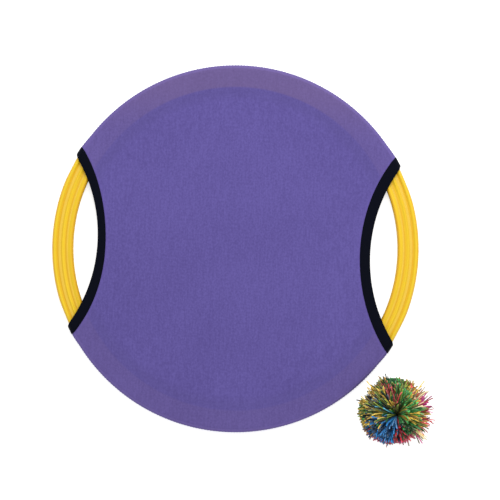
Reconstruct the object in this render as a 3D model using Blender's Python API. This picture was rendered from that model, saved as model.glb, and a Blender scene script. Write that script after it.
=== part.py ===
"""Trampoline paddle and strand ball.

The paddle is a moulded hoop in a stretch-cloth sleeve. The sleeve's two panels are the drum
that the ball bounces on. Its two open mouths, bound with folded tape, leave the hoop bare at
both sides as hand grips. The ball is a bunch of rubber hanks, slit into strands at both ends
and clamped at the middle by a tie ring, so that the strands splay into a ball.

Units are metres and +Z is up. The set lies on the floor, which is z = 0. The origin is on the
floor at the paddle's centre, and +X runs through the middle of the right-hand grip.
"""

import math
import random

import bmesh
import bpy
from mathutils import Vector

# Clearance that every touching pair of pieces keeps
CLEARANCE = 0.00025

# Hoop: outer radius, width and half the height of its section, and the ribs on both faces
HOOP_RADIUS = 0.1492
HOOP_WIDTH = 0.0172
HOOP_HALF_HEIGHT = 0.0035
OUTER_BEAD_WIDTH = 0.0041
INNER_BEAD_WIDTH = 0.0046
BEAD_ROLL = 0.0022
GROOVE_DEPTH = 0.0011
MIDDLE_RIB_WIDTH = 0.0032
MIDDLE_RIB_TOP = 0.0012
MIDDLE_RIB_DROP = 0.0002
HOOP_STEPS = 64

# Sleeve: cloth, the tape folded over its raw edges, and the seams along the rim
CLOTH_THICKNESS = 0.0005
TAPE_THICKNESS = 0.0004
TAPE_OVERLAP = 0.0006
SEAM_HALF_WIDTH = 0.0004
LIFT_RUN = 0.012
SAG_RUN = 0.055
ROLL_STEPS = 3
LIFT_STEPS = 3
MIDDLE_COLUMNS = 16
PANEL_ROWS = 8
TAPE_STEPS = 12

# Mouths: how far the middle of each free edge lies from the paddle's centre, the radius of
# its arc, and the width of tape past that edge, at its middle and where it meets the rim
MOUTHS = {
    "right": {"side": 1, "reach": 0.1098, "radius": 0.1262, "tape": 0.0081, "tape_end": 0.0094},
    "left": {"side": -1, "reach": 0.1121, "radius": 0.1216, "tape": 0.0062, "tape_end": 0.0084},
}

# Ball: strand tips lie near a sphere, and it stands on the tips nearest the lower parting
BALL_RADIUS = 0.0300
BALL_REST_HEIGHT = 0.0245
BALL_GAP = 0.0045
BALL_BEARING = math.radians(-42.9)
KNOT_RADIUS = 0.0090
WAIST_RADIUS = 0.0046
HEART_RADIUS = 0.0011
TIE_HALF_HEIGHT = 0.0009
TIE_RADIAL_WIDTH = 0.0026
TIE_STEPS = 16
STRAND_WIDTH = 0.0031
STRAND_SHARE = 0.66
STRAND_SHORTEST_SHARE = 0.88
STRAND_STRAY_SHARE = 0.9
STRAND_COLUMNS = 3
STRAND_ROWS = 6
PARTING_AT_KNOT = math.radians(12)
PARTING_AT_TIPS = math.radians(24)
SWAY = math.radians(4)
HANK_START = math.radians(-12.4)

# Hanks in order round the ball, seen from above and counted anticlockwise
HANK_COLOURS = (
    "gold",
    "green",
    "gold",
    "dark_green",
    "olive",
    "navy",
    "green",
    "gold",
    "blue",
    "red",
    "pink",
    "dark_green",
)

# Colours of the materials, linear
COLOURS = {
    "gold": (0.56, 0.36, 0.06),
    "red": (0.58, 0.05, 0.08),
    "green": (0.08, 0.36, 0.11),
    "dark_green": (0.03, 0.15, 0.05),
    "navy": (0.02, 0.05, 0.14),
    "olive": (0.20, 0.24, 0.06),
    "blue": (0.03, 0.16, 0.42),
    "pink": (0.72, 0.14, 0.24),
}
HOOP_YELLOW = (0.90, 0.60, 0.05)
CLOTH_PURPLE = (0.14, 0.11, 0.35)
TAPE_BLACK = (0.008, 0.009, 0.014)
TIE_GREY = (0.35, 0.35, 0.37)

# Offsets from the hoop's surface, worked out from the sizes above
CLOTH_MIDDLE = CLEARANCE + CLOTH_THICKNESS / 2
LIFT = TAPE_THICKNESS + CLEARANCE
INNER_LEAF = CLEARANCE
OUTER_LEAF = INNER_LEAF + TAPE_THICKNESS + CLOTH_THICKNESS + 2 * CLEARANCE
TAPE_FACE = OUTER_LEAF + TAPE_THICKNESS
MIDDLE_Z = HOOP_HALF_HEIGHT + TAPE_FACE
SAG = TAPE_FACE - CLEARANCE - CLOTH_THICKNESS
FLAT_RADIUS = HOOP_RADIUS - BEAD_ROLL
RIM_RADIUS = HOOP_RADIUS + CLEARANCE + CLOTH_THICKNESS


def clear_scene():
    for obj in list(bpy.data.objects):
        bpy.data.objects.remove(obj, do_unlink=True)


def plain_material(name, colour, roughness, metallic=0.0):
    made = bpy.data.materials.new(name)
    made.use_nodes = True
    shader = made.node_tree.nodes["Principled BSDF"]
    shader.inputs["Base Color"].default_value = (*colour, 1.0)
    shader.inputs["Roughness"].default_value = roughness
    shader.inputs["Metallic"].default_value = metallic
    return made


def add_object(name, bm, surface, parent=None):
    """Turns a bmesh into a named object with smooth shading and its own material."""
    mesh = bpy.data.meshes.new(name)
    bm.to_mesh(mesh)
    bm.free()
    mesh.shade_smooth()
    mesh.set_sharp_from_angle(angle=math.radians(40))
    mesh.materials.append(surface)
    obj = bpy.data.objects.new(name, mesh)
    bpy.context.scene.collection.objects.link(obj)
    obj.parent = parent
    return obj


def add_empty(name, place):
    empty = bpy.data.objects.new(name, None)
    bpy.context.scene.collection.objects.link(empty)
    empty.location = place
    return empty


def smooth_step(value):
    t = min(1.0, max(0.0, value))
    return t * t * (3 - 2 * t)


def turned(section, steps):
    """Spins a closed section of (radius, height) points round the Z axis."""
    bm = bmesh.new()
    points = [bm.verts.new((radius, 0.0, height)) for radius, height in section]
    pairs = zip(points, points[1:] + points[:1])
    edges = [bm.edges.new(pair) for pair in pairs]
    bmesh.ops.spin(
        bm,
        geom=points + edges,
        cent=(0, 0, 0),
        axis=(0, 0, 1),
        angle=math.tau,
        steps=steps,
        use_merge=True,
    )
    bmesh.ops.remove_doubles(bm, verts=bm.verts, dist=1e-6)
    bmesh.ops.recalc_face_normals(bm, faces=bm.faces)
    return bm


def lofted(rings, closed_path):
    """Joins rings of points, each a closed loop, into one tube. An open tube gets end faces."""
    bm = bmesh.new()
    loops = [[bm.verts.new(point) for point in ring] for ring in rings]
    around = len(loops[0])
    count = len(loops) if closed_path else len(loops) - 1
    for i in range(count):
        here, ahead = loops[i], loops[(i + 1) % len(loops)]
        for j in range(around):
            k = (j + 1) % around
            bm.faces.new((here[j], here[k], ahead[k], ahead[j]))
    if not closed_path:
        bm.faces.new(loops[0][::-1])
        bm.faces.new(loops[-1])
    bmesh.ops.recalc_face_normals(bm, faces=bm.faces)
    return bm


# The hoop


def hoop_half_section():
    """Upper half of the hoop's section, from the rim's middle to the inner edge's middle."""
    inner = HOOP_RADIUS - HOOP_WIDTH
    middle = HOOP_RADIUS - HOOP_WIDTH / 2
    land = HOOP_HALF_HEIGHT - GROOVE_DEPTH
    rib = HOOP_HALF_HEIGHT - MIDDLE_RIB_DROP
    points = []
    for step in range(ROLL_STEPS + 1):
        turn = math.pi / 2 * (1 - step / ROLL_STEPS)
        radius = HOOP_RADIUS - BEAD_ROLL * (1 - math.sin(turn))
        points.append((radius, HOOP_HALF_HEIGHT * math.cos(turn)))
    points.append((HOOP_RADIUS - OUTER_BEAD_WIDTH, land))
    points.append((middle + MIDDLE_RIB_WIDTH / 2, land))
    points.append((middle + MIDDLE_RIB_TOP / 2, rib))
    points.append((middle - MIDDLE_RIB_TOP / 2, rib))
    points.append((middle - MIDDLE_RIB_WIDTH / 2, land))
    points.append((inner + INNER_BEAD_WIDTH, land))
    points.append((inner + BEAD_ROLL, HOOP_HALF_HEIGHT))
    turn = math.pi / 4
    radius = inner + BEAD_ROLL * (1 - math.sin(turn))
    points.append((radius, HOOP_HALF_HEIGHT * math.cos(turn)))
    points.append((inner, 0.0))
    return points


def add_hoop(parent):
    upper = hoop_half_section()
    lower = [(radius, -height) for radius, height in upper[-2:0:-1]]
    bm = turned(upper + lower, HOOP_STEPS)
    yellow = plain_material("hoop_plastic", HOOP_YELLOW, 0.35)
    return add_object("hoop", bm, yellow, parent)


# The sleeve's surface, which panels, seams and tape all follow


def mouth_centre(mouth):
    """Distance from the paddle's centre to the centre of a mouth's arc."""
    return mouth["reach"] + mouth["radius"]


def mouth_distance(mouth, x, y):
    """How far a point lies inside the cloth from a mouth's free edge."""
    away = math.hypot(x - mouth["side"] * mouth_centre(mouth), y)
    return away - mouth["radius"]


def mouth_azimuth(mouth, inset, radius):
    """Angle from the X axis at which the arc that lies inset from the free edge meets a circle."""
    far = mouth_centre(mouth)
    arc = mouth["radius"] + inset
    return math.acos((radius**2 + far**2 - arc**2) / (2 * radius * far))


def tape_width(mouth, y):
    """Width of a mouth's tape at this height up the mouth."""
    end = FLAT_RADIUS * math.sin(mouth_azimuth(mouth, 0, FLAT_RADIUS))
    share = min(1.0, abs(y) / end)
    return mouth["tape"] + (mouth["tape_end"] - mouth["tape"]) * smooth_step(share)


def roll_radius(turn):
    """Radius in plan of the cloth's middle where it has turned this far over the rim."""
    return FLAT_RADIUS + (BEAD_ROLL + CLOTH_MIDDLE) * math.sin(turn)


def lift_at(x, y):
    """How much the tape's inner leaf lifts the cloth off the hoop."""
    most = 0.0
    for mouth in MOUTHS.values():
        past = mouth_distance(mouth, x, y) - tape_width(mouth, y) - TAPE_OVERLAP
        most = max(most, 1 - smooth_step(past / LIFT_RUN))
    return LIFT * most


def sag_at(x, y):
    """How much a panel sags. Its middle lies level, on the floor at the back."""
    inner = HOOP_RADIUS - HOOP_WIDTH
    share = smooth_step((inner - math.hypot(x, y)) / SAG_RUN)
    for mouth in MOUTHS.values():
        past = mouth_distance(mouth, x, y) - tape_width(mouth, y)
        share *= smooth_step(past / SAG_RUN)
    return SAG * share


def sleeve_point(x, y, turn, face, offset):
    """A point at this offset from the hoop. face is 1 on the front and -1 on the back."""
    if turn == 0:
        height = face * (HOOP_HALF_HEIGHT + offset) - sag_at(x, y)
        return Vector((x, y, height))
    azimuth = math.atan2(y, x)
    radius = FLAT_RADIUS + (BEAD_ROLL + offset) * math.sin(turn)
    height = face * (HOOP_HALF_HEIGHT + offset) * math.cos(turn)
    return Vector((radius * math.cos(azimuth), radius * math.sin(azimuth), height))


def cloth_point(x, y, turn, face):
    return sleeve_point(x, y, turn, face, CLOTH_MIDDLE + lift_at(x, y))


def panel_end_turn():
    """How far a panel turns over the rim before the seam."""
    gap = SEAM_HALF_WIDTH + CLEARANCE
    return math.acos(gap / (HOOP_HALF_HEIGHT + CLOTH_MIDDLE))


def mouth_point(mouth, line, share):
    """A place in plan beside a mouth. A line follows the mouth at the inset that it gives for
    the tape's width there, and share runs along it from the lower rim to the upper one."""
    end = FLAT_RADIUS * math.sin(mouth_azimuth(mouth, 0, FLAT_RADIUS))
    inset = line(tape_width(mouth, end * (2 * share - 1)))
    arc = mouth["radius"] + inset
    azimuth = mouth_azimuth(mouth, inset, FLAT_RADIUS)
    half_turn = math.asin(FLAT_RADIUS * math.sin(azimuth) / arc)
    turn = half_turn * (2 * share - 1)
    x = mouth["side"] * (mouth_centre(mouth) - arc * math.cos(turn))
    return x, arc * math.sin(turn)


def line_azimuth(mouth, line, radius):
    """Angle from the X axis at which a line along a mouth meets a circle on the rim."""
    return mouth_azimuth(mouth, line(mouth["tape_end"]), radius)


def column_lines():
    """Lines along a mouth that a panel's columns follow, from the cloth's raw edge to the end
    of its lift, as functions of the tape's width."""
    past = [TAPE_OVERLAP + LIFT_RUN * step / LIFT_STEPS for step in range(LIFT_STEPS + 1)]
    return [lambda width: TAPE_OVERLAP] + [lambda width, by=by: width + by for by in past]


def panel_columns():
    """Columns from left to right: (mouth, line) beside a mouth, (None, share) between them."""
    columns = [(MOUTHS["left"], line) for line in column_lines()]
    columns += [(None, step / MIDDLE_COLUMNS) for step in range(1, MIDDLE_COLUMNS)]
    columns += [(MOUTHS["right"], line) for line in reversed(column_lines())]
    return columns


def rim_point(column, turn, half):
    """A place in plan on the rim, where half is 1 on the upper rim and -1 on the lower one."""
    radius = roll_radius(turn)
    mouth, value = column
    if mouth:
        azimuth = half * line_azimuth(mouth, value, radius)
        return mouth["side"] * radius * math.cos(azimuth), radius * math.sin(azimuth)
    edge = column_lines()[-1]
    first = math.pi - line_azimuth(MOUTHS["left"], edge, radius)
    last = line_azimuth(MOUTHS["right"], edge, radius)
    azimuth = half * (first + (last - first) * value)
    return radius * math.cos(azimuth), radius * math.sin(azimuth)


def flat_point(column, v):
    """A place in plan on a panel's flat part. Between the mouths it is blended from the four
    edges of the patch there."""
    mouth, value = column
    if mouth:
        return mouth_point(mouth, value, v)
    edge = column_lines()[-1]
    blend = (1 - v) * Vector(rim_point(column, 0, -1)) + v * Vector(rim_point(column, 0, 1))
    for side, part_u in (("left", 1 - value), ("right", value)):
        blend += Vector(mouth_point(MOUTHS[side], edge, v)) * part_u
        for share, part_v in ((0, 1 - v), (1, v)):
            blend -= Vector(mouth_point(MOUTHS[side], edge, share)) * part_u * part_v
    return blend


# Panels and seams


def add_panel(name, face, surface, parent):
    """One cloth panel: flat over the hoop, and turned over the rim along both outer edges."""
    turns = [math.pi / 2 * step / ROLL_STEPS for step in range(1, ROLL_STEPS)]
    turns.append(panel_end_turn())
    rows = [(turn, -1, None) for turn in reversed(turns)]
    rows += [(0, 0, row / PANEL_ROWS) for row in range(PANEL_ROWS + 1)]
    rows += [(turn, 1, None) for turn in turns]
    bm = bmesh.new()
    grid = []
    for turn, half, v in rows:
        line = []
        for column in panel_columns():
            x, y = rim_point(column, turn, half) if turn else flat_point(column, v)
            line.append(bm.verts.new(cloth_point(x, y, turn, face)))
        grid.append(line)
    for below, above in zip(grid, grid[1:]):
        for i in range(len(below) - 1):
            corners = [below[i], below[i + 1], above[i + 1], above[i]]
            bm.faces.new(corners if face > 0 else corners[::-1])
    panel = add_object(name, bm, surface, parent)
    solid = panel.modifiers.new("cloth", "SOLIDIFY")
    solid.thickness = CLOTH_THICKNESS
    solid.offset = 0
    solid.use_even_offset = True
    return panel


def add_seam(name, half, surface, parent):
    """The stitched seam that joins the two panels along the rim's middle."""
    rings = []
    for column in panel_columns():
        x, y = rim_point(column, math.pi / 2, half)
        lift = lift_at(x, y)
        out = Vector((x, y, 0)).normalized()
        near = (HOOP_RADIUS + CLEARANCE + lift) * out
        far = near + CLOTH_THICKNESS * out
        up = Vector((0, 0, SEAM_HALF_WIDTH))
        rings.append([near - up, far - up, far + up, near + up])
    return add_object(name, lofted(rings, closed_path=False), surface, parent)


# Tape


def whole_width(width):
    return width


def free_edge(width):
    return 0.0


def fold_back(width):
    return -TAPE_THICKNESS


def tape_section():
    """The folded tape's section as (line along the mouth, offset from the hoop) points."""
    return [
        (whole_width, TAPE_FACE),
        (free_edge, TAPE_FACE),
        (fold_back, OUTER_LEAF),
        (fold_back, INNER_LEAF + TAPE_THICKNESS),
        (free_edge, INNER_LEAF),
        (whole_width, INNER_LEAF),
        (whole_width, INNER_LEAF + TAPE_THICKNESS),
        (free_edge, INNER_LEAF + TAPE_THICKNESS),
        (free_edge, OUTER_LEAF),
        (whole_width, OUTER_LEAF),
    ]


def tape_stations():
    """Places round a mouth: (turn over the rim, half, share of the arc, face), once round."""
    turns = [math.pi / 2 * step / ROLL_STEPS for step in range(1, ROLL_STEPS)]
    shares = [step / TAPE_STEPS for step in range(TAPE_STEPS + 1)]
    stations = [(math.pi / 2, -1, None, 1)]
    stations += [(turn, -1, None, 1) for turn in reversed(turns)]
    stations += [(0, 0, share, 1) for share in shares]
    stations += [(turn, 1, None, 1) for turn in turns]
    stations += [(math.pi / 2, 1, None, 1)]
    stations += [(turn, 1, None, -1) for turn in reversed(turns)]
    stations += [(0, 0, share, -1) for share in reversed(shares)]
    stations += [(turn, -1, None, -1) for turn in turns]
    return stations


def add_binding(name, mouth, surface, parent):
    """One loop of tape, folded over the cloth's edge all the way round a mouth."""
    rings = []
    for turn, half, share, face in tape_stations():
        ring = []
        for line, offset in tape_section():
            if turn == 0:
                x, y = mouth_point(mouth, line, share)
            else:
                x, y = rim_point((mouth, line), turn, half)
            ring.append(sleeve_point(x, y, turn, face, offset))
        rings.append(ring)
    return add_object(name, lofted(rings, closed_path=True), surface, parent)


# The ball


def knot_rows():
    """Polar angles from the top at which the rows of strands meet on the knot, upper half."""
    last = math.acos((TIE_HALF_HEIGHT + CLEARANCE) / KNOT_RADIUS)
    step = (last - PARTING_AT_KNOT) / STRAND_ROWS
    return [PARTING_AT_KNOT + step * row for row in range(STRAND_ROWS + 1)]


def hank_section():
    """Half of a hank's section as (radius, height), from the top down, with the waist."""
    upper = [(KNOT_RADIUS * math.sin(a), KNOT_RADIUS * math.cos(a)) for a in knot_rows()]
    upper.append((WAIST_RADIUS, upper[-1][1]))
    lower = [(radius, -height) for radius, height in reversed(upper)]
    return upper + lower


def lean_of(polar):
    """Polar angle of a strand's tip, for one that leaves the knot at this polar angle. The
    strands lean away from the partings at the top and bottom."""
    first, last = knot_rows()[0], knot_rows()[-1]
    share = (min(polar, math.pi - polar) - first) / (last - first)
    leaned = PARTING_AT_TIPS + (math.pi / 2 - PARTING_AT_TIPS) * share
    return leaned if polar < math.pi / 2 else math.pi - leaned


def tip_direction(azimuth, lean):
    """Direction of a strand's tip, which sways a little round the ball."""
    swayed = azimuth + SWAY * math.sin(3 * azimuth + 2 * lean)
    flat = math.sin(lean)
    return Vector((flat * math.cos(swayed), flat * math.sin(swayed), math.cos(lean)))


def shape_strand(tip, chance):
    """Moves the four corners of a newly extruded strand out to its tip, which keeps inside
    the strand's own cell of the ball."""
    length = BALL_RADIUS * chance.uniform(STRAND_SHORTEST_SHARE, 1.0)
    centre = sum((vert.co for vert in tip.verts), Vector()) / len(tip.verts)
    outward = math.atan2(centre.y, centre.x)
    corners = []
    for vert in tip.verts:
        turned_by = math.atan2(vert.co.y, vert.co.x) - outward
        azimuth = outward + math.remainder(turned_by, math.tau)
        polar = math.atan2(math.hypot(vert.co.x, vert.co.y), vert.co.z)
        corners.append((azimuth, lean_of(polar)))
    low = [min(values) for values in zip(*corners)]
    high = [max(values) for values in zip(*corners)]
    middle = [(a + b) / 2 for a, b in zip(low, high)]
    widths = [length * math.sin(middle[1]) * (high[0] - low[0]), length * (high[1] - low[1])]
    shares = [min(STRAND_SHARE, STRAND_WIDTH / width) for width in widths]
    place = []
    for i in range(2):
        room = (high[i] - low[i]) * (1 - shares[i]) / 2
        place.append(middle[i] + chance.uniform(-STRAND_STRAY_SHARE, STRAND_STRAY_SHARE) * room)
    floor = -BALL_REST_HEIGHT
    reach = tip_direction(*place).z * length
    grounded = reach <= floor
    if grounded:
        length *= floor / reach
    for vert, corner in zip(tip.verts, corners):
        angles = [place[i] + (corner[i] - middle[i]) * shares[i] for i in range(2)]
        vert.co = tip_direction(*angles) * length
        if grounded or vert.co.z < floor:
            vert.co.z = floor


def add_hank(name, index, surface, parent):
    """One hank: a wedge of packed rubber with a waist in the tie ring, and its strands."""
    section = hank_section()
    sector = math.tau / len(HANK_COLOURS)
    chance = random.Random(index)
    bm = bmesh.new()
    columns = []
    for column in range(STRAND_COLUMNS + 1):
        share = column / STRAND_COLUMNS
        azimuth = HANK_START + (index + share) * sector
        out = Vector((math.cos(azimuth), math.sin(azimuth), 0))
        aside = Vector((-out.y, out.x, 0)) * CLEARANCE * (0.5 - share)
        heart = [(HEART_RADIUS, section[-1][1]), (HEART_RADIUS, section[0][1])]
        points = [out * radius + aside + Vector((0, 0, z)) for radius, z in section + heart]
        columns.append([bm.verts.new(point) for point in points])
    grown = []
    around = len(columns[0])
    smooth_faces = set(range(STRAND_ROWS)) | {STRAND_ROWS + 3 + r for r in range(STRAND_ROWS)}
    for here, ahead in zip(columns, columns[1:]):
        for j in range(around):
            k = (j + 1) % around
            face = bm.faces.new((here[j], here[k], ahead[k], ahead[j]))
            if j in smooth_faces:
                grown.append(face)
    bm.faces.new(columns[0][::-1])
    bm.faces.new(columns[-1])
    bmesh.ops.recalc_face_normals(bm, faces=bm.faces)
    tips = bmesh.ops.extrude_discrete_faces(bm, faces=grown)["faces"]
    for tip in tips:
        shape_strand(tip, chance)
    return add_object(name, bm, surface, parent)


def add_tie_ring(parent):
    """The crimped ring in the hanks' waist, with rounded edges."""
    inner = WAIST_RADIUS + CLEARANCE
    outer = inner + TIE_RADIAL_WIDTH
    soft = TIE_HALF_HEIGHT / 2
    upper = [(outer, soft), (outer - soft, TIE_HALF_HEIGHT)]
    upper += [(inner + soft, TIE_HALF_HEIGHT), (inner, soft)]
    lower = [(radius, -height) for radius, height in reversed(upper)]
    metal = plain_material("tie_metal", TIE_GREY, 0.3, 1.0)
    return add_object("tie_ring", turned(upper + lower, TIE_STEPS), metal, parent)


def add_ball(place):
    centre = add_empty("ball", place)
    add_tie_ring(centre)
    counts = {}
    for index, colour in enumerate(HANK_COLOURS):
        counts[colour] = counts.get(colour, 0) + 1
        name = f"{colour}_hank_{counts[colour]}"
        rubber = plain_material(f"{name}_rubber", COLOURS[colour], 0.45)
        add_hank(name, index, rubber, centre)


def add_paddle():
    centre = add_empty("paddle", (0, 0, MIDDLE_Z))
    add_hoop(centre)
    cloth = {1: "front_panel", -1: "back_panel"}
    for face, name in cloth.items():
        purple = plain_material(f"{name}_cloth", CLOTH_PURPLE, 0.8)
        add_panel(name, face, purple, centre)
    for half, name in ((1, "upper_seam"), (-1, "lower_seam")):
        thread = plain_material(f"{name}_thread", CLOTH_PURPLE, 0.8)
        add_seam(name, half, thread, centre)
    for side, mouth in MOUTHS.items():
        black = plain_material(f"{side}_tape", TAPE_BLACK, 0.75)
        add_binding(f"{side}_binding", mouth, black, centre)


clear_scene()
add_paddle()
ball_distance = RIM_RADIUS + BALL_GAP + BALL_RADIUS
add_ball(
    (
        ball_distance * math.cos(BALL_BEARING),
        ball_distance * math.sin(BALL_BEARING),
        BALL_REST_HEIGHT,
    )
)
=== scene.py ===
"""Looks of a trampoline paddle and its strand ball.

The paddle is a ribbed hoop in a sleeve of stretch knit, whose two open mouths are bound with
folded elastic. The ball is a bunch of rubber strands. Both lie on a white floor, which is
z = 0, and are seen from straight above. Metres, +Z up, +X through the right-hand grip.
"""

import math

import bpy
import numpy as np
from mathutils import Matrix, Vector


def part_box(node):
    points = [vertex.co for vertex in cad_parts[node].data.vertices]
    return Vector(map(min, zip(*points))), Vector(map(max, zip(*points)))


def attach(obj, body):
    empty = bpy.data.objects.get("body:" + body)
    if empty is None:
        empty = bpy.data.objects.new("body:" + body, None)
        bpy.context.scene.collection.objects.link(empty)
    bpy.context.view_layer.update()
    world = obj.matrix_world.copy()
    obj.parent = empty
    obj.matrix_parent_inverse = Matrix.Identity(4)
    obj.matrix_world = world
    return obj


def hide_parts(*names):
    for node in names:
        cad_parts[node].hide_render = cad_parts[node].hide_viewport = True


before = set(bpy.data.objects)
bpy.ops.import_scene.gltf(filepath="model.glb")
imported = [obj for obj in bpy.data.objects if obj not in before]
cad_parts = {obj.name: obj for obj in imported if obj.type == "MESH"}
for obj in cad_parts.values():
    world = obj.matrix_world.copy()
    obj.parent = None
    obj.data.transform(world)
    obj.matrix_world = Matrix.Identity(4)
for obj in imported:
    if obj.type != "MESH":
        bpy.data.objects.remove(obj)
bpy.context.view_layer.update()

# The hoop. One ring of yellow plastic, injection moulded, which stiffens the whole paddle and
# is bare at both grips. Beads run round its outer and inner edges, with a rib between them,
# and the lands between these are polished flats. Both faces are alike.

hoop_low, hoop_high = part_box("hoop")
MIDDLE_Z = (hoop_low.z + hoop_high.z) / 2
HOOP_RADIUS = hoop_high.x
HOOP_HALF_HEIGHT = (hoop_high.z - hoop_low.z) / 2
# How far the hoop stands out past its solid all round, how much further at both grips, the
# angle from the X axis at which a grip ends, and the angle over which its swell fades there
HOOP_SWELL = 0.0002
GRIP_SWELL = 0.0006
GRIP_END = math.radians(25)
GRIP_FADE = math.radians(8)
HOOP_WIDTH = 0.0170
BEAD_ROLL = 0.0022
LAND_DEPTH = 0.0010
# Ribs and grooves of a face: distance in from the rim, half width, and height off the land
FACE_RELIEF = (
    (0.0022, 0.0020, LAND_DEPTH),
    (0.0042, 0.0009, -0.0004),
    (0.0083, 0.0013, 0.0008),
    (0.0103, 0.0011, -0.0004),
    (0.0150, 0.0024, LAND_DEPTH),
)
HOOP_STEPS = 320
ROLL_STEPS = 9
FACE_STEPS = 56


def grid_faces(rows, columns, wrap_rows=False, wrap_columns=False):
    """The quads between the points of a grid, which are numbered row by row, as an array. A
    wrapped grid has one more row or column of quads, from its last points to its first."""
    i = np.arange(rows if wrap_rows else rows - 1)[:, None]
    j = np.arange(columns if wrap_columns else columns - 1)[None, :]
    ahead, beside = (i + 1) % rows, (j + 1) % columns
    corners = (i * columns + j, i * columns + beside, ahead * columns + beside)
    corners += (ahead * columns + j,)
    return np.stack(np.broadcast_arrays(*corners), axis=-1).reshape(-1, 4)


def add_piece(name, points, faces, finish, stands_for=()):
    """Adds a smooth mesh of these points and faces, which rides on the part and replaces the
    nodes that it stands for."""
    mesh = bpy.data.meshes.new(name)
    mesh.from_pydata(points.reshape(-1, 3).tolist(), [], faces)
    mesh.shade_smooth()
    mesh.materials.append(finish)
    piece = bpy.data.objects.new(name, mesh)
    bpy.context.scene.collection.objects.link(piece)
    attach(piece, "root")
    if stands_for:
        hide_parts(*stands_for)
    return piece


def add_uv(piece, places):
    """Gives a piece a UV map in metres, from one place for each of its points."""
    mesh = piece.data
    index = np.empty(len(mesh.loops), np.int32)
    mesh.loops.foreach_get("vertex_index", index)
    layer = mesh.uv_layers.new(name="metres")
    layer.uv.foreach_set("vector", places.reshape(-1, 2)[index].astype(np.float32).ravel())


def hoop_face_height(inward):
    """Height of a face over the hoop's middle at a distance in from the rim: the land, plus a
    raised cosine for each rib, less one for each groove."""
    height = np.full_like(inward, HOOP_HALF_HEIGHT - LAND_DEPTH)
    for centre, half_width, rise in FACE_RELIEF:
        across = np.clip((inward - centre) / half_width, -1, 1)
        height += rise * np.cos(across * math.pi / 2) ** 2
    return height


def hoop_section():
    """The hoop's closed section as (radius, height) rows: quarter ellipses roll its edges
    over, and the relief runs between them on both faces."""
    roll = np.linspace(0, math.pi / 2, ROLL_STEPS, endpoint=False)
    edge = np.stack([BEAD_ROLL * (1 - np.cos(roll)), HOOP_HALF_HEIGHT * np.sin(roll)], 1)
    inward = np.linspace(BEAD_ROLL, HOOP_WIDTH - BEAD_ROLL, FACE_STEPS)
    face = np.stack([inward, hoop_face_height(inward)], 1)
    inner_edge = edge[::-1] * (-1, 1) + (HOOP_WIDTH, 0)
    upper = np.concatenate([edge, face, inner_edge])
    lower = upper[-2:0:-1] * (1, -1)
    outline = np.concatenate([upper, lower])
    return np.stack([HOOP_RADIUS + HOOP_SWELL - outline[:, 0], outline[:, 1]], 1)


def smooth_step(value):
    """Climbs smoothly from 0 to 1: three times the square, less twice the cube."""
    t = np.clip(value, 0, 1)
    return t * t * (3 - 2 * t)


def hoop_rings(section, steps):
    """The rings of the hoop's section carried round the Z axis. At both grips, which the
    sleeve doesn't squeeze, the hoop swells, by a share that grows evenly from its inner edge
    to its rim and fades towards the grip's ends."""
    angle = np.linspace(0, math.tau, steps, endpoint=False)[:, None]
    bearing = np.arcsin(np.abs(np.sin(angle)))
    swell = GRIP_SWELL * smooth_step((GRIP_END - bearing) / GRIP_FADE)
    outness = (section[:, 0] - section[:, 0].min()) / HOOP_WIDTH
    radius, height = section[:, 0] + swell * outness, section[:, 1] + MIDDLE_Z
    rings = (radius * np.cos(angle), radius * np.sin(angle), height + 0 * angle)
    return np.stack(rings, axis=-1)


class Value:
    """A shader socket that sums can be written on: each adds its Math node."""

    def __init__(self, tree, socket=None):
        self.tree = tree
        self.socket = socket

    def node(self, kind, settings=None, inputs=None, output=0):
        """Adds a node of this kind: its settings first, then its sockets' values or links."""
        made = self.tree.nodes.new("ShaderNode" + kind)
        for name, value in (settings or {}).items():
            if name == "stops":
                set_stops(made.color_ramp, value)
            else:
                setattr(made, name, value)
        for name, value in (inputs or {}).items():
            if isinstance(value, Value):
                self.tree.links.new(value.socket, made.inputs[name])
            else:
                made.inputs[name].default_value = value
        return Value(self.tree, made.outputs[output])

    def math(self, operation, first, second=0.0):
        return self.node("Math", {"operation": operation}, {0: first, 1: second})

    def __add__(self, other):
        return self.math("ADD", self, other)

    def __sub__(self, other):
        return self.math("SUBTRACT", self, other)

    def __rsub__(self, other):
        return self.math("SUBTRACT", other, self)

    def __mul__(self, other):
        return self.math("MULTIPLY", self, other)

    def __truediv__(self, other):
        return self.math("DIVIDE", self, other)

    def __pow__(self, other):
        return self.math("POWER", self, other)

    __radd__ = __add__
    __rmul__ = __mul__

    def sine(self):
        return self.math("SINE", self)

    def fraction(self):
        return self.math("FRACT", self)

    def size(self):
        return self.math("ABSOLUTE", self)

    def ramp(self, start, end, low=0.0, high=1.0):
        """Climbs smoothly from low at start to high at end."""
        settings = {"interpolation_type": "SMOOTHSTEP"}
        places = {"Value": self, "From Min": start, "From Max": end}
        return self.node("MapRange", settings, {**places, "To Min": low, "To Max": high})

    def peak(self, centre, half_width):
        """1 at the centre, falling smoothly to 0 at half_width to either side."""
        return (self - centre).size().ramp(half_width, 0.0)

    def mixed(self, first, second):
        """A colour between two, by this value."""
        inputs = {0: self, 6: first, 7: second}
        return self.node("Mix", {"data_type": "RGBA"}, inputs, output=2)

    def noise(self, scale, detail=2.0, stretch=(1, 1, 1)):
        """Soft noise from 0 to 1 over a place, stretched by these factors."""
        inputs = {"Vector": self, "Scale": stretch}
        place = self.node("Mapping", None, inputs)
        return self.node("TexNoise", None, {"Vector": place, "Scale": scale, "Detail": detail})

    def part(self, axis):
        """One coordinate of a place, where axis is 0, 1 or 2."""
        return self.node("SeparateXYZ", None, {0: self}, output=axis)


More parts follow.
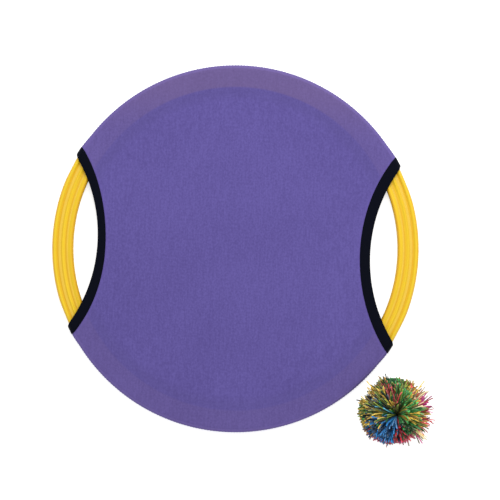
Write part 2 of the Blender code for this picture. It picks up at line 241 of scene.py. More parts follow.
def set_stops(ramp, stops):
    """Gives a colour ramp its stops, as (position, colour) pairs."""
    while len(ramp.elements) < len(stops):
        ramp.elements.new(1.0)
    for element, (position, colour) in zip(ramp.elements, stops):
        element.position = position
        element.color = colour


def colour(red, green, blue):
    """The linear colour, with full alpha, of a red, green and blue as a paint chart gives
    them, from 0 to 255: the display curve is undone by its power law and its straight foot."""
    parts = [value / 255 for value in (red, green, blue)]
    return (*(p / 12.92 if p < 0.04045 else ((p + 0.055) / 1.055) ** 2.4 for p in parts), 1.0)


def new_finish(name, **constants):
    """A new material, as (material, shader, Value that starts its nodes)."""
    made = bpy.data.materials.new(name)
    made.use_nodes = True
    shader = made.node_tree.nodes["Principled BSDF"]
    for socket, value in constants.items():
        shader.inputs[socket.replace("_", " ")].default_value = value
    return made, shader, Value(made.node_tree)


def connect(shader, **values):
    """Links values to the shader's sockets, whose spaces are written as underscores."""
    for socket, value in values.items():
        value.tree.links.new(value.socket, shader.inputs[socket.replace("_", " ")])


def object_place(start):
    """The place on a piece in metres, which is its Object coordinates."""
    return start.node("TexCoord", output=3)


# The plastic's tones, which paint its light and shade: a painted sheen on the flat lands,
# painted highlights on the crowns of the beads and the rib, plain on their flanks, painted
# shade in the grooves, and darker at both edges
LAND_SHEEN_TONE = colour(248, 206, 72)
CROWN_HIGHLIGHT_TONE = colour(255, 218, 48)
FLANK_TONE = colour(248, 206, 42)
GROOVE_SHADE_TONE = colour(238, 186, 34)
EDGE_TONE = colour(246, 190, 38)
# Where each of them lies, by distance in from the rim in millimetres
HOOP_TONES_AND_SHADING = (
    (0.0, EDGE_TONE),
    (1.5, CROWN_HIGHLIGHT_TONE),
    (2.8, FLANK_TONE),
    (4.3, GROOVE_SHADE_TONE),
    (5.2, LAND_SHEEN_TONE),
    (6.3, LAND_SHEEN_TONE),
    (7.3, FLANK_TONE),
    (8.6, CROWN_HIGHLIGHT_TONE),
    (9.7, FLANK_TONE),
    (10.8, GROOVE_SHADE_TONE),
    (12.0, LAND_SHEEN_TONE),
    (12.8, FLANK_TONE),
    (14.0, CROWN_HIGHLIGHT_TONE),
    (15.4, EDGE_TONE),
    (17.0, EDGE_TONE),
)


def hoop_plastic():
    """Yellow plastic with faint flow marks and a fine grain, in bands across its width of
    painted sheen, painted highlights and painted shade.
    """
    made, shader, start = new_finish("hoop_plastic", Specular_IOR_Level=0.3)
    place = object_place(start)
    across, along = place.part(0), place.part(1)
    inward = HOOP_RADIUS + HOOP_SWELL - (across * across + along * along) ** 0.5
    share = inward / HOOP_WIDTH
    stops = [(inset / 1000 / HOOP_WIDTH, tone) for inset, tone in HOOP_TONES_AND_SHADING]
    # The bands paint light and shade: sheen on the lands, highlights on the crowns, shade in the
    # grooves
    shaded_bands = start.node("ValToRGB", {"stops": stops}, {"Fac": share})
    flow = place.noise(60.0, 3.0)
    yellow = flow.ramp(0.3, 0.7, 0.0, 0.12).mixed(shaded_bands, colour(236, 186, 60))
    roughness = place.noise(500.0, 3.0).ramp(0.3, 0.7, 0.3, 0.42)
    grain = place.noise(1800.0, 2.0)
    normal = start.node("Bump", None, {"Strength": 0.06, "Distance": 0.0002, "Height": grain})
    connect(shader, Base_Color=yellow, Roughness=roughness, Normal=normal)
    return made


section = hoop_section()
hoop_points = hoop_rings(section, HOOP_STEPS)
hoop_quads = grid_faces(HOOP_STEPS, len(section), wrap_rows=True, wrap_columns=True).tolist()
add_piece("ribbed_hoop", hoop_points, hoop_quads, hoop_plastic(), ["hoop"])

# The sleeve. Two discs of fine purple knit, cut away at both sides and stretched over the
# hoop's front and back like a drum. Their round edges roll over the rim and meet at its
# middle. The yellow hoop shows faintly through the cloth that lies on it, and more towards
# the upper part, which is painted light.

CLEARANCE = 0.00025
CLOTH_THICKNESS = 0.0005
TAPE_THICKNESS = 0.0004
# How far the cloth's raw edges lie inside the tape's fold, and the lengths over which the
# cloth comes down from the tape's lift and goes into its sag
RAW_EDGE_INSET = 0.0006
LIFT_RUN = 0.012
SAG_RUN = 0.055
SEAM_HALF_WIDTH = 0.0001
# Spacing of the knit's columns, which are its wales, and of its rows, which are its courses
WALE = 0.0007
COURSE = 0.0005
# Mouths: reach of the free edge's middle from the paddle's centre, radius of its arc, how far
# its middle is turned up from the X axis, width of tape at its middle and at the rim, and half
# of how much wider the tape is halfway up than halfway down
MOUTHS = {
    "right": {
        "side": 1, "reach": 0.1098, "radius": 0.1281, "rise": math.radians(0.2),
        "tape": 0.0081, "tape_end": 0.0086, "skew": 0.0002,
    },
    "left": {
        "side": -1, "reach": 0.1124, "radius": 0.1249, "rise": math.radians(0.35),
        "tape": 0.0063, "tape_end": 0.0077, "skew": -0.0005,
    },
}
PANEL_COLUMNS = 180
FLAT_ROWS = 150
WRAP_ROWS = 7
CLOTH_MIDDLE = CLEARANCE + CLOTH_THICKNESS / 2
INNER_LEAF = CLEARANCE
OUTER_LEAF = INNER_LEAF + TAPE_THICKNESS + CLOTH_THICKNESS + 2 * CLEARANCE
TAPE_FACE = OUTER_LEAF + TAPE_THICKNESS
LIFT = TAPE_THICKNESS + CLEARANCE
SAG = TAPE_FACE - CLEARANCE - CLOTH_THICKNESS
FLAT_RADIUS = HOOP_RADIUS - BEAD_ROLL
# How far the front's cloth dips just inside the hoop, and the length over which it does
EDGE_DIP = 0.00035
EDGE_DIP_RUN = 0.006
# Where the cloth's tone changes: blur of the hoop's inner edge, middle and half width of the
# painted shade inside it, width of the painted highlight along the rim and of its full
# strength, and reach of the painted light line beside the tape
HOOP_EDGE_BLUR = 0.001
SHADE_MIDDLE = 0.004
SHADE_HALF_WIDTH = 0.009
RIM_HIGHLIGHT = BEAD_ROLL
RIM_FULL_HIGHLIGHT = 0.0008
TAPE_LIGHT_LINE_REACH = 0.003


def from_mouth(mouth, out, up):
    """X and Y of points given by how far out through a mouth's middle they lie, and how far
    up along it: the two axes are turned by the mouth's rise."""
    cosine, sine = math.cos(mouth["rise"]), math.sin(mouth["rise"])
    return mouth["side"] * (out * cosine - up * sine), out * sine + up * cosine


def to_mouth(mouth, x, y):
    """How far out and how far up points lie from their X and Y, the other way round."""
    cosine, sine = math.cos(mouth["rise"]), math.sin(mouth["rise"])
    return mouth["side"] * x * cosine + y * sine, y * cosine - mouth["side"] * x * sine


def mouth_distance(mouth, x, y):
    """How far points lie inside the cloth from a mouth's free edge, which is an arc."""
    out, up = to_mouth(mouth, x, y)
    return np.hypot(out - mouth["reach"] - mouth["radius"], up) - mouth["radius"]


def mouth_azimuth(mouth, inset, radius):
    """Angle from the X axis at which the arc inset from the free edge meets a circle, by the
    law of cosines."""
    far = mouth["reach"] + mouth["radius"]
    arc = mouth["radius"] + inset
    return np.arccos((radius**2 + far**2 - arc**2) / (2 * radius * far))


def tape_width(mouth, up):
    """Width of tape at a height up the mouth: it changes smoothly towards both ends, and a
    sine skews it, as the elastic is pulled more on one side when it is sewn."""
    share = np.clip(up / (FLAT_RADIUS * np.sin(mouth_azimuth(mouth, 0, FLAT_RADIUS))), -1, 1)
    even = mouth["tape"] + (mouth["tape_end"] - mouth["tape"]) * smooth_step(np.abs(share))
    return even + mouth["skew"] * np.sin(math.pi * share)


def past_tape(x, y):
    """Distance from the nearer mouth's tape, into the open cloth."""
    right, left = MOUTHS["right"], MOUTHS["left"]
    past_right = mouth_distance(right, x, y) - tape_width(right, to_mouth(right, x, y)[1])
    past_left = mouth_distance(left, x, y) - tape_width(left, to_mouth(left, x, y)[1])
    return np.minimum(past_right, past_left)


def sleeve(x, y, turn, face, offset):
    """Points at an offset from the hoop, on its front for face 1 and its back for face -1.
    They lie flat and sag in the middle, by what brings the back's cloth down to the floor, or
    for a turn above 0 they follow an ellipse over the rim."""
    radius = np.hypot(x, y)
    inside = HOOP_RADIUS - HOOP_WIDTH - radius
    sag = SAG * smooth_step(inside / SAG_RUN) * smooth_step(past_tape(x, y) / SAG_RUN)
    flat_z = face * (HOOP_HALF_HEIGHT + offset) - sag
    rolled = FLAT_RADIUS + (BEAD_ROLL + offset) * np.sin(turn)
    rolled_z = face * (HOOP_HALF_HEIGHT + offset) * np.cos(turn)
    share = np.where(turn > 0, rolled / radius, 1.0)
    z = np.where(turn > 0, rolled_z, flat_z)
    return np.stack([x * share, y * share, z + MIDDLE_Z], axis=-1)


def mouth_arc(mouth, inset, share):
    """Points in plan on the arc inset from a mouth's free edge. share runs along it from the
    lower rim to the upper one."""
    arc = mouth["radius"] + inset
    half_turn = np.arcsin(FLAT_RADIUS * np.sin(mouth_azimuth(mouth, inset, FLAT_RADIUS)) / arc)
    turn = half_turn * (2 * share - 1)
    out = mouth["reach"] + mouth["radius"] - arc * np.cos(turn)
    return np.stack(from_mouth(mouth, out, arc * np.sin(turn)), axis=-1)


def rim_arc(share, radius, half):
    """Points in plan on the upper rim for half 1 and the lower one for half -1. share runs
    from the left mouth to the right one."""
    left, right = MOUTHS["left"], MOUTHS["right"]
    first = half * (math.pi - mouth_azimuth(left, RAW_EDGE_INSET, radius)) - left["rise"]
    last = half * mouth_azimuth(right, RAW_EDGE_INSET, radius) + right["rise"]
    azimuth = first + (last - first) * share
    return np.stack([radius * np.cos(azimuth), radius * np.sin(azimuth)], axis=-1)


def panel_plan():
    """A panel's plan, as (places, turns) over a grid of rows and columns. The flat rows are
    the Coons patch of two rim arcs and two mouth arcs: the sum of the two blends between
    facing arcs, less the blend between the corners. More rows turn over each rim."""
    u = np.linspace(0, 1, PANEL_COLUMNS)[None, :, None]
    v = np.linspace(0, 1, FLAT_ROWS)[:, None, None]
    edges = [mouth_arc(MOUTHS[side], RAW_EDGE_INSET, v[:, :, 0]) for side in ("left", "right")]
    rims = [rim_arc(u[:, :, 0], FLAT_RADIUS, half) for half in (-1, 1)]
    flat = (1 - u) * edges[0] + u * edges[1] + (1 - v) * rims[0] + v * rims[1]
    for rim, part_v in ((rims[0], 1 - v), (rims[1], v)):
        flat = flat - part_v * ((1 - u) * rim[:, :1] + u * rim[:, -1:])
    last = math.acos((SEAM_HALF_WIDTH + CLEARANCE) / (HOOP_HALF_HEIGHT + CLOTH_MIDDLE))
    turns = np.linspace(0, last, WRAP_ROWS)[1:]
    radii = FLAT_RADIUS + (BEAD_ROLL + CLOTH_MIDDLE) * np.sin(turns)
    wraps = {}
    for half in (-1, 1):
        rows = [rim_arc(u[0, :, 0], radius, half) for radius in radii]
        wraps[half] = np.stack(rows)
    plan = np.concatenate([wraps[-1][::-1], flat, wraps[1]])
    turn = np.concatenate([turns[::-1], np.zeros(FLAT_ROWS), turns])
    return plan, np.broadcast_to(turn[:, None], plan.shape[:2])


def panel_cut(plan, turn):
    """The cut that a panel's plan was stretched from: the rows over the rim are laid flat,
    at the length that they run round it."""
    around = (HOOP_HALF_HEIGHT + BEAD_ROLL) / 2 + CLOTH_MIDDLE
    radius = np.linalg.norm(plan, axis=-1)
    reach = np.where(turn > 0, (FLAT_RADIUS + around * turn) / radius, 1.0)
    return plan * reach[..., None]


def quad_area(cut):
    """Area of a flat grid: half the cross product of each quad's diagonals, summed."""
    one, other = cut[1:, 1:] - cut[:-1, :-1], cut[1:, :-1] - cut[:-1, 1:]
    return float(np.abs(one[..., 0] * other[..., 1] - one[..., 1] * other[..., 0]).sum() / 2)


def knit_height(place, wale, course):
    """Relief of a plain knit over a place in metres: columns of loops, each loop a V, so the
    rows bend with the distance from the middle of their column."""
    side = ((place.part(0) / wale).fraction() - 0.5).size() * 2.0
    rows = ((place.part(1) / course + side * 0.4) * math.tau).sine()
    return (1.0 - side * side) * (rows * 0.35 + 0.65)


def sleeve_knit():
    """Fine stretch knit: stitches with darker gaps, faint streaks along the wales, a short
    brushed pile, cloudy dye, and a warm tone where the yellow hoop shows through, made stronger
    towards the upper part by painted light. Painted shade lies just inside the hoop, and a
    painted highlight along the rim and beside each tape."""
    made, shader, start = new_finish("sleeve_knit", Roughness=0.85, Specular_IOR_Level=0.15)
    place = object_place(start)
    stitches = knit_height(start.node("UVMap"), WALE, COURSE)
    streaks = place.noise(160.0, 3.0, stretch=(4.5, 0.6, 1))
    pile = place.noise(600.0, 2.0, stretch=(1.1, 0.95, 1))
    clouds = place.noise(16.0, 4.0)
    tone = streaks * 0.44 + clouds * 0.3 + pile * 0.75 + stitches * 0.3 - 0.315
    purple = tone.ramp(0.2, 0.95).mixed(colour(91, 79, 147), colour(110, 98, 173))
    across, along = place.part(0), place.part(1)
    radius = (across * across + along * along) ** 0.5
    inner = HOOP_RADIUS - HOOP_WIDTH
    on_hoop = radius.ramp(inner - HOOP_EDGE_BLUR, inner + HOOP_EDGE_BLUR)
    # Painted shade in a band just inside the hoop's inner edge
    shade = radius.peak(inner - SHADE_MIDDLE, SHADE_HALF_WIDTH) * 0.25
    purple = shade.mixed(purple, colour(88, 79, 136))
    # The hoop's yellow shows through the cloth on it; its share grows towards the upper part,
    # which is painted light from above
    warm_and_lit = tone.ramp(0.2, 0.95).mixed(colour(109, 91, 138), colour(121, 102, 152))
    purple = (on_hoop * along.ramp(0.085, 0.135, 0.26, 0.72)).mixed(purple, warm_and_lit)
    # A painted highlight along the rim, stronger on the lower part
    rim = radius.ramp(HOOP_RADIUS - RIM_HIGHLIGHT, HOOP_RADIUS - RIM_FULL_HIGHLIGHT)
    purple = (rim * along.ramp(-0.12, 0.12, 0.85, 0.36)).mixed(purple, colour(126, 110, 182))
    # A painted light line on the cloth along each tape's cloth side
    near_tape = start.node("Attribute", {"attribute_name": "from_tape"}, output=2)
    light_line = near_tape.ramp(TAPE_LIGHT_LINE_REACH, 0.0, 0.0, 0.3)
    purple = light_line.mixed(purple, colour(116, 100, 184))
    bump = {"Strength": 0.5, "Distance": 0.00012, "Height": stitches}
    connect(shader, Base_Color=purple, Normal=start.node("Bump", None, bump))
    return made


def add_panel(name, face, finish, node):
    """One panel: the grid of its plan, lifted where the tape's inner leaf lies under it, on
    the front dipping a little just inside the hoop, and given the cloth's thickness."""
    plan, turn = panel_plan()
    x, y = plan[..., 0], plan[..., 1]
    lift = LIFT * (1 - smooth_step((past_tape(x, y) - RAW_EDGE_INSET) / LIFT_RUN))
    inside = (HOOP_RADIUS - HOOP_WIDTH - np.hypot(x, y)) / EDGE_DIP_RUN
    dip = EDGE_DIP * smooth_step(inside) * smooth_step(past_tape(x, y) / LIFT_RUN)
    points = sleeve(x, y, turn, face, CLOTH_MIDDLE + lift - dip * (face > 0))
    quads = grid_faces(*plan.shape[:2])[:, ::face].tolist()
    panel = add_piece(name, points, quads, finish, [node])
    cut = panel_cut(plan, turn)
    add_uv(panel, cut)
    distance = panel.data.attributes.new("from_tape", "FLOAT", "POINT")
    distance.data.foreach_set("value", past_tape(x, y).astype(np.float32).ravel())
    solid = panel.modifiers.new("cloth", "SOLIDIFY")
    solid.thickness = CLOTH_THICKNESS
    solid.offset = 0
    size = cut.reshape(-1, 2).max(axis=0) - cut.reshape(-1, 2).min(axis=0)
    quad_area(cut)


knit = sleeve_knit()
add_panel("front_cloth", 1, knit, "front_panel")
add_panel("back_cloth", -1, knit, "back_panel")

# The seams. The panels are joined along the upper and the lower rim by a narrow overlocked
# seam of purple thread, whose loops show as a fine rope round the hoop's middle.

SEAM_RADIUS = 0.0005
SEAM_STITCH = 0.0024
SEAM_TWIST = 0.22
SEAM_SIDES = 10
SEAM_RINGS = 900


def seam_points(half):
    """A rope along the rim: a ring round each point of the rim's arc, whose radius swells by
    the twist's share with the sine of its own angle less the stitches run so far."""
    share = np.linspace(0, 1, SEAM_RINGS)
    angle = np.linspace(0, math.tau, SEAM_SIDES, endpoint=False)[None, :]
    path = rim_arc(share, FLAT_RADIUS + BEAD_ROLL + CLOTH_MIDDLE, half)
    out = path / np.linalg.norm(path, axis=1)[:, None]
    lift = LIFT * (1 - smooth_step((past_tape(*path.T) - RAW_EDGE_INSET) / LIFT_RUN))
    run = share * np.linalg.norm(np.diff(path, axis=0), axis=1).sum() / SEAM_STITCH
    swell = SEAM_RADIUS * (1 + SEAM_TWIST * np.sin(angle - math.tau * run[:, None]))
    radial = (lift[:, None] + swell * np.cos(angle))[..., None]
    plan = path[:, None] + out[:, None] * radial
    return np.concatenate([plan, (MIDDLE_Z + swell * np.sin(angle))[..., None]], axis=-1)


def capped_tube(rings, sides):
    """Faces of a tube: the quads between its rings, and a flat face over each end."""
    ends = [list(range(sides))[::-1], list(range((rings - 1) * sides, rings * sides))]
    return grid_faces(rings, sides, wrap_columns=True).tolist() + ends


def overlock_thread():
    """Purple polyester thread with a soft sheen and a fine twist."""
    made, shader, start = new_finish("overlock_thread", Specular_IOR_Level=0.25)
    place = object_place(start)
    twist = place.noise(2500.0, 2.0)
    purple = twist.mixed(colour(96, 84, 152), colour(128, 114, 188))
    connect(shader, Base_Color=purple, Roughness=twist.ramp(0.2, 0.8, 0.6, 0.85))
    return made


thread = overlock_thread()
for half, name, node in ((1, "upper_rope", "upper_seam"), (-1, "lower_rope", "lower_seam")):
    rope = seam_points(half)
    add_piece(name, rope, capped_tube(SEAM_RINGS, SEAM_SIDES), thread, [node])

# The bindings. Each mouth's raw cloth edges are held in one closed loop of black elastic
# tape, folded lengthwise over them. It runs over the front, round the hoop's rim and along
# the back, and a row of black lockstitches runs near its cloth side.

TAPE_CORNER = 0.0014
TAPE_STATIONS = 140
TAPE_TURNS = 9
FOLD_STEPS = 9
LIP_STEPS = 5
RIB_PITCH = 0.0009
THREAD_PITCH = 0.0006
STITCH_PITCH = 0.0028
STITCH_LENGTH = 0.0021
STITCH_RADIUS = 0.00017
STITCH_INSET = 0.0011
STITCH_BLUNTNESS = 0.04
STITCH_SIDES = 6
STITCH_RINGS = 7


def tape_section():
    """The folded tape's closed section, as (share of the tape's width, distance in from the
    edge, offset from the hoop) rows: half ellipses round the fold, inside and out, and round
    the edge of each leaf."""
    half = TAPE_THICKNESS / 2
    middle = (INNER_LEAF + TAPE_FACE) / 2
    reach = (TAPE_FACE - INNER_LEAF) / 2
    fold = np.linspace(math.pi / 2, -math.pi / 2, FOLD_STEPS)
    outer = np.stack([0 * fold, -TAPE_THICKNESS * np.cos(fold), middle + reach * np.sin(fold)], 1)
    inner_reach = reach - TAPE_THICKNESS
    inner = np.stack([0 * fold, 0 * fold, middle - inner_reach * np.sin(fold)], 1)
    end = np.linspace(-math.pi / 2, math.pi / 2, LIP_STEPS)
    lip = np.stack([1 + 0 * end, half * (np.cos(end) - 1), half * np.sin(end)], 1)
    inner_lip = lip + (0, 0, INNER_LEAF + half)
    outer_lip = lip + (0, 0, OUTER_LEAF + half)
    return np.concatenate([outer, inner_lip, inner, outer_lip])


def tape_path():
    """Stations along one closed loop of tape, as (share up the mouth, turn over the rim,
    face) rows: up the front, over the upper rim, down the back and over the lower rim."""
    share = np.linspace(0, 1, TAPE_STATIONS)
    turn = np.linspace(0, math.pi / 2, TAPE_TURNS)
    up = np.stack([share, 0 * share, 1 + 0 * share], 1)
    over = np.stack([1 + 0 * turn, turn, 1 + 0 * turn], 1)[1:]
    under = over[-2::-1] * (1, 1, -1)
    down = up[::-1] * (1, 1, -1)
    loop = np.concatenate([up, over, under, down[1:]])
    low_under = over * (0, 1, -1)
    low_over = over[-2::-1] * (0, 1, 1)
    return np.concatenate([loop, low_under, low_over])


def tape_points(mouth, stations, width_share, inset, offset):
    """Points on the tape at these stations. Over the rim, the tape keeps its width beside
    the mouth's arc, at the radius which the cloth has rolled out to, and its fold draws back
    with the square of the sine of the turn, which rounds its corner."""
    share, turn, face = (stations[:, k, None] for k in range(3))
    end = FLAT_RADIUS * np.sin(mouth_azimuth(mouth, 0, FLAT_RADIUS))
    inset = width_share * tape_width(mouth, end * (2 * share - 1)) + inset
    inset = inset + (1 - width_share) * TAPE_CORNER * np.sin(turn) ** 2
    flat = mouth_arc(mouth, inset, share)
    radius = FLAT_RADIUS + (BEAD_ROLL + CLOTH_MIDDLE) * np.sin(turn)
    azimuth = mouth_azimuth(mouth, inset, radius)
    up = radius * np.sin(azimuth) * np.sign(share - 0.5)
    rim = np.stack(from_mouth(mouth, radius * np.cos(azimuth), up), axis=-1)
    plan = np.where(turn[..., None] > 0, rim, flat)
    return sleeve(plan[..., 0], plan[..., 1], turn, face, offset)


def elastic_tape():
    """Black elastic: fine ribs along its length crossed by finer threads, and a little lint."""
    made, shader, start = new_finish("elastic_tape", Specular_IOR_Level=0.08)
    place = start.node("UVMap")
    ribs = (place.part(1) * (math.tau / RIB_PITCH)).sine()
    threads = (place.part(0) * (math.tau / THREAD_PITCH)).sine()
    weave = ribs * 0.5 + threads * ribs * 0.35 + 0.5
    lint = object_place(start).noise(900.0, 4.0)
    black = (lint * 0.5 + weave * 0.3).mixed(colour(1, 3, 10), colour(13, 17, 34))
    bump = {"Strength": 0.5, "Distance": 0.00008, "Height": weave}
    normal = start.node("Bump", None, bump)
    connect(shader, Base_Color=black, Roughness=lint.ramp(0.2, 0.8, 0.7, 0.9), Normal=normal)
    return made


def stitch_points(mouth):
    """A row of stitches on the tape's front: each a ring of points round each station of its
    length, whose radius is that of an ellipse with its ends cut off bluntly. Half of the
    stitch is sunk into the tape."""
    length = mouth["radius"] * 2 * math.asin(FLAT_RADIUS / (mouth["radius"] + mouth["reach"]))
    count = int(length / STITCH_PITCH)
    along = np.linspace(-1, 1, STITCH_RINGS)
    start = (np.arange(count) + 0.5) / count
    share = start[:, None] + along * (STITCH_LENGTH / STITCH_PITCH / 2 / count)
    angle = np.linspace(0, math.tau, STITCH_SIDES, endpoint=False)
    swell = STITCH_RADIUS * np.sqrt(1 + STITCH_BLUNTNESS - along**2)[None, :, None]
    inset = -STITCH_INSET + swell * np.cos(angle) + 0 * share[..., None]
    offset = TAPE_FACE + swell * np.sin(angle) + 0 * share[..., None]
    stations = np.stack([share.ravel(), 0 * share.ravel(), 1 + 0 * share.ravel()], 1)
    shape = (stations.shape[0], STITCH_SIDES)
    return tape_points(mouth, stations, 1.0, inset.reshape(shape), offset.reshape(shape)), count


def repeated(faces, count, points_each):
    """The same faces for each of a number of like shapes, whose points follow each other."""
    shift = np.arange(count)[:, None, None] * points_each
    return (np.asarray(faces)[None] + shift).reshape(-1, np.shape(faces)[1])


def add_binding(side, finish):
    """One mouth's tape, with UVs along and across it, and the stitches on its front."""
    mouth = MOUTHS[side]
    profile, stations = tape_section(), tape_path()
    width_share, inset, offset = profile.T
    points = tape_points(mouth, stations, width_share, inset, offset)
    rows, columns = points.shape[:2]
    quads = grid_faces(rows, columns, wrap_rows=True, wrap_columns=True)
    tape = add_piece(side + "_tape", points, quads[:, ::mouth["side"]].tolist(), finish,
                     [side + "_binding"])
    step = np.linalg.norm(np.diff(points[:, 0], axis=0), axis=1)
    run = np.concatenate([[0], np.cumsum(step)])[:, None]
    across = width_share * mouth["tape"] + inset
    add_uv(tape, np.stack(np.broadcast_arrays(run, across), axis=-1))
    stitches, count = stitch_points(mouth)
    one = grid_faces(STITCH_RINGS, STITCH_SIDES, wrap_columns=True)
    faces = repeated(one, count, STITCH_RINGS * STITCH_SIDES).tolist()
    add_piece(side + "_stitches", stitches, faces, finish)


elastic = elastic_tape()
for side in MOUTHS:
    add_binding(side, elastic)

# The ball. Twelve hanks of thin rubber strands are clamped at the middle by a crimped metal
# ring, and both ends of each hank are slit fine, so the strands spread and bend out into a
# soft round bunch. It lies on its lower strands, so its knot is pushed a little to one side.

STRANDS_EACH = 235
TUFTS_EACH = 34
STRAND_STATIONS = 9
STRAND_SIDES = 4
STRAND_WIDTH = 0.00074
WIDTH_RANGE = (0.8, 1.15)
# Width at the knot as a share of a strand's width, and where along it the full one starts
KNOT_WIDTH = 0.3
FULL_WIDTH_SHARE = 0.5
# The knot: where it lies from the ball's centre, how far from it the strands start, how deep
# the painted shade on them is there, and the share of their length over which it lifts
KNOT_OFFSET = np.array((0.0020, -0.0032, 0.0))
STRAND_START = 0.0012
KNOT_SHADE = 0.05
SHADE_SHARE = 0.88
# The parting leans towards this bearing, by a share of a point's height
PARTING_BEARING = math.radians(-47)
PARTING_SHIFT = 0.2
# Leans from the parting: the least, as a share of the opening at which a hank's upper layer
# starts, then how deep that layer is, where the lower one starts, and the widest of all
STANDING = 0.4
UPPER_LAYER = math.radians(16)
LOWER_LAYER = math.radians(76)
WIDEST_LEAN = math.radians(97)
# Shares of the tufts by which the leans have reached the hank's opening, the end of the upper
# layer, the start of the lower one and the widest lean
LEVELS = (0, 0.09, 0.37, 0.5, 1)
# How far strands fan out sideways and up or down from the middle of their tuft
TUFT_WIDTH = math.radians(2.6)
TUFT_DEPTH = math.radians(4)
# How strands bend: the lean at the knot as a share of that at the tip, the power by which it
# grows, and how far standing and lying ones sway sideways by their tips
UPPER_KNOT_SHARE = 0.12
BEND_POWER = 1.7
STANDING_SWAY = math.radians(11)
LYING_SWAY = math.radians(6)
# The lower ends: their opening, their lean at the knot as a share of that at the tip, and how
# far they reach as a share of the hank's reach
LOWER_OPENING = math.radians(25)
LOWER_KNOT_SHARE = 0.5
LOWER_REACH = 0.92
# Lengths, each times a hank's raggedness: how far its longest tuft passes its reach, how much
# shorter than that one its shortest is, and how far single strands differ. The power, which
# is below 1, makes most of the tufts short.
LONGEST_TUFT = 0.5
SHORTER_TUFTS = 2.4
UNEVEN_STRANDS = 0.5
SHORT_POWER = 0.4
# Greatest height of the tips over the ball's centre, the share of it that the shortest tufts
# lose, and the least cosine that a lean counts with
STANDING_HEIGHT = 0.0266
STANDING_TRIM = 0.08
LEAST_COSINE = 0.2
# Strands on the floor: the least height of their middle lines and how much higher these pile
# up, both in strand widths, and the share of what would reach lower that spreads outwards
LEAST_PILE = 0.7
PILE = 1.6
SPREAD_SHARE = 0.5
FLOOR_GAP = 0.0001
HANK_START = math.radians(-12.4)
HANK_ANGLE = math.radians(30)
FIRST_SEED = 40
# How far a strand's dye may lie from its own place among the dyes of its hank, in dyes, for
# most strands and for a share that strays, and how far the layers' edge is blurred
DYES_EACH = 5
DYE_DRIFT = 0.9
STRAY_DRIFT = 2.6
STRAY_SHARE = 0.3
LAYER_BLUR = math.radians(4)
# Tone of the strands, whose dark end stands partly for painted shade between them: the
# darkest, how much brighter the brightest is, and a power that makes more of them dark. Then
# the largest share of a painted pale highlight, which few strands have.
DARKEST = 0.26
BRIGHTER = 1.92
TONE_POWER = 1.4
PALEST_HIGHLIGHT = 0.26
PALE_HIGHLIGHT_POWER = 5
DYES = {
    "gold": colour(208, 174, 72),
    "brown": colour(168, 124, 60),
    "straw": colour(244, 228, 178),
    "lime": colour(96, 190, 104),
    "green": colour(56, 142, 74),
    "pine": colour(28, 88, 46),
    "olive": colour(134, 150, 62),
    "navy": colour(20, 50, 82),
    "blue": colour(38, 124, 188),
    "sky": colour(98, 180, 214),
    "red": colour(224, 54, 72),
    "coral": colour(208, 84, 90),
    "pink": colour(240, 116, 152),
    "magenta": colour(200, 70, 140),
}
PALE_HIGHLIGHT = np.array(colour(226, 224, 206))
# Each hank: its node, how far its strands reach in millimetres, how ragged that is, the lean
# of its first strands in degrees, and the dyes, anticlockwise, of its upper strands and of
# those tucked below them
HANKS = (
    ("gold_hank_1", 27.6, 0.19, 36,
     "gold lime gold lime gold", "gold straw red straw gold"),
    ("green_hank_1", 28.6, 0.18, 38,
     "lime green lime lime gold", "magenta straw coral straw gold"),
    ("gold_hank_2", 26.8, 0.09, 48,
     "lime gold lime olive green", "gold gold coral gold olive"),
    ("dark_green_hank_1", 27.5, 0.02, 56,
     "olive green pine olive coral", "olive green pine green pine"),
    ("olive_hank_1", 29.0, 0.08, 54,
     "coral pine gold navy olive", "pine brown pine olive brown"),
    ("navy_hank_1", 29.8, 0.16, 52,
     "olive gold navy green sky", "gold navy gold navy brown"),
    ("green_hank_2", 30.4, 0.03, 56,
     "olive gold navy green gold", "gold green olive lime gold"),
    ("gold_hank_3", 30.5, 0.05, 52,
     "navy blue blue sky blue", "gold blue gold blue coral"),
    ("blue_hank_1", 28.9, 0.04, 48,
     "blue blue navy blue blue", "blue magenta blue sky coral"),
    ("red_hank_1", 26.7, 0.05, 46,
     "navy red navy red red", "magenta red coral pink coral"),
    ("pink_hank_1", 27.6, 0.08, 28,
     "pine pine green pine pine", "pink coral straw pink green"),
    ("dark_green_hank_2", 31.2, 0.15, 34,
     "pine green olive green gold", "straw magenta gold straw coral"),
)
RING_STEPS = 72
RING_SIDES = 10
RING_THICKNESS = 0.0008
CRIMP_DEPTH = 0.0003
CRIMPS = 6
ring_low, ring_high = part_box("tie_ring")
BALL_CENTRE = np.array((ring_low + ring_high) / 2)


def strand_directions(rng, first, opening):
    """Where a hank's strands point at their tips, as azimuths and leans from the parting, and
    which tuft each is in: a few tufts stand up, and the others are mostly in two layers."""
    tuft = rng.permutation(TUFTS_EACH)
    azimuth = first + HANK_ANGLE * (tuft + rng.uniform(0, 1, TUFTS_EACH)) / TUFTS_EACH
    level = (np.arange(TUFTS_EACH) + rng.uniform(0, 1, TUFTS_EACH)) / TUFTS_EACH
    leans = (STANDING * opening, opening, opening + UPPER_LAYER, LOWER_LAYER, WIDEST_LEAN)
    lean = np.interp(level, LEVELS, leans)
    which = rng.integers(0, TUFTS_EACH, STRANDS_EACH)
    spread = rng.normal(0, 1, (2, STRANDS_EACH))
    azimuths = azimuth[which] + TUFT_WIDTH * spread[0] / np.sin(lean[which])
    leans = lean[which] + TUFT_DEPTH * spread[1]
    return azimuths, np.maximum(leans, STANDING * opening), which


